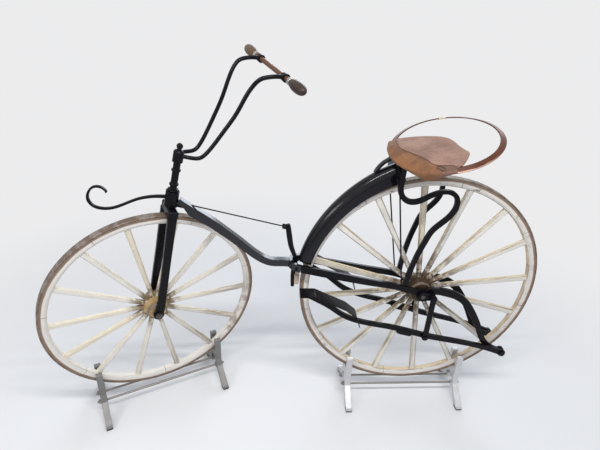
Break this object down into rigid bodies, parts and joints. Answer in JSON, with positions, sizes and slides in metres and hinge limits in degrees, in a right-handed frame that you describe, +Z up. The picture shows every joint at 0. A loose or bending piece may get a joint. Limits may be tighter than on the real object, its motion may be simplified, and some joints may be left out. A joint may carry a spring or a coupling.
{
  "type": "treadle-driven wooden-wheeled velocipede on floor stands",
  "caption": "Lever-driven bicycle with wooden spoked wheels, iron tyres, curved iron frame, swept handlebar and ring saddle, each wheel in a low cast floor stand.",
  "frame": {"origin": "on the floor straight below the rear axle, in the frame's middle plane", "axes": "+X forward along the bicycle, +Y to its left, +Z up"},
  "size_m": [2.0186, 0.5699, 1.5106],
  "materials": {
    "rusty_iron": "rusted, rough",
    "painted_wood": "worn pale paint over wood",
    "dark_wood": "satin",
    "brown_wood": "varnished",
    "leather": "worn",
    "ring_enamel": "glossy",
    "cast_metal": "as cast",
    "stand_steel": "dull",
    "rubber": "matt",
    "worn_steel": "worn",
    "black_iron": "glossy black, worn"
  },
  "bodies": {
    "frame": {"backbone": "black_iron", "head_socket": "black_iron", "rear_fork_left": "black_iron", "rear_fork_right": "black_iron", "lever_bracket_left": "black_iron", "lever_bracket_right": "black_iron", "mudguard": "black_iron", "spring_stays": "black_iron", "saddle_spring_left": "black_iron", "saddle_spring_right": "black_iron", "saddle_bracket": "black_iron", "saddle_ring": "ring_enamel", "saddle_front_leaf": "black_iron", "saddle_leather": "leather", "leg_rest": "black_iron", "rear_stand_ends": "cast_metal", "rear_stand_rods": "stand_steel", "rear_stand_feet": "rubber"},
    "steering": {"steering_column": "black_iron", "fork_crown": "black_iron", "fork_blade_left": "black_iron", "fork_blade_right": "black_iron", "front_axle": "worn_steel", "handlebar_arm_left": "black_iron", "handlebar_arm_right": "black_iron", "handlebar": "brown_wood", "grip_left": "dark_wood", "grip_right": "dark_wood", "front_stand_ends": "cast_metal", "front_stand_rods": "stand_steel", "front_stand_feet": "rubber"},
    "front_wheel": {"front_tyre": "rusty_iron", "front_rim": "painted_wood", "front_spokes": "painted_wood", "front_hub": "painted_wood", "front_hub_bands": "rusty_iron"},
    "rear_wheel": {"rear_tyre": "rusty_iron", "rear_rim": "painted_wood", "rear_spokes": "painted_wood", "rear_hub": "painted_wood", "rear_hub_bands": "rusty_iron", "rear_axle": "worn_steel", "crank_left": "black_iron", "crank_right": "black_iron"},
    "treadle_left": {"lever_left": "black_iron", "foot_plate_left": "black_iron"},
    "treadle_right": {"lever_right": "black_iron", "foot_plate_right": "black_iron"},
    "link_left": {"link_left": "black_iron"},
    "link_right": {"link_right": "black_iron"}
  },
  "joints": [
    {"name": "steering", "type": "hinge", "parent": "frame", "child": "steering", "pos_m": [1.111, 0, 0.51], "axis": [-0.2139, 0, 0.9769], "range_deg": [-69.8, 20.2]},
    {"name": "front_wheel_spin", "type": "hinge", "parent": "steering", "child": "front_wheel", "pos_m": [1.111, 0, 0.51], "axis": [-0.4097, 0.9078, -0.0897], "continuous": true},
    {"name": "rear_wheel_spin", "type": "hinge", "parent": "frame", "child": "rear_wheel", "pos_m": [0, 0, 0.603], "axis": [0, 1, 0], "continuous": true},
    {"name": "treadle_left", "type": "hinge", "parent": "frame", "child": "treadle_left", "pos_m": [-0.42, 0, 0.295], "axis": [0, -1, 0], "range_deg": [-5.9, 8.3]},
    {"name": "treadle_right", "type": "hinge", "parent": "frame", "child": "treadle_right", "pos_m": [-0.42, 0, 0.295], "axis": [0, -1, 0], "range_deg": [-9.1, 5.1]},
    {"name": "link_left_pin", "type": "hinge", "parent": "treadle_left", "child": "link_left", "pos_m": [-0.04201, 0.088, 0.399], "axis": [0, -1, 0], "range_deg": [-34, 3.1]},
    {"name": "link_right_pin", "type": "hinge", "parent": "treadle_right", "child": "link_right", "pos_m": [-0.04848, -0.088, 0.42016], "axis": [0, -1, 0], "range_deg": [-4.4, 32.6]}
  ]
}
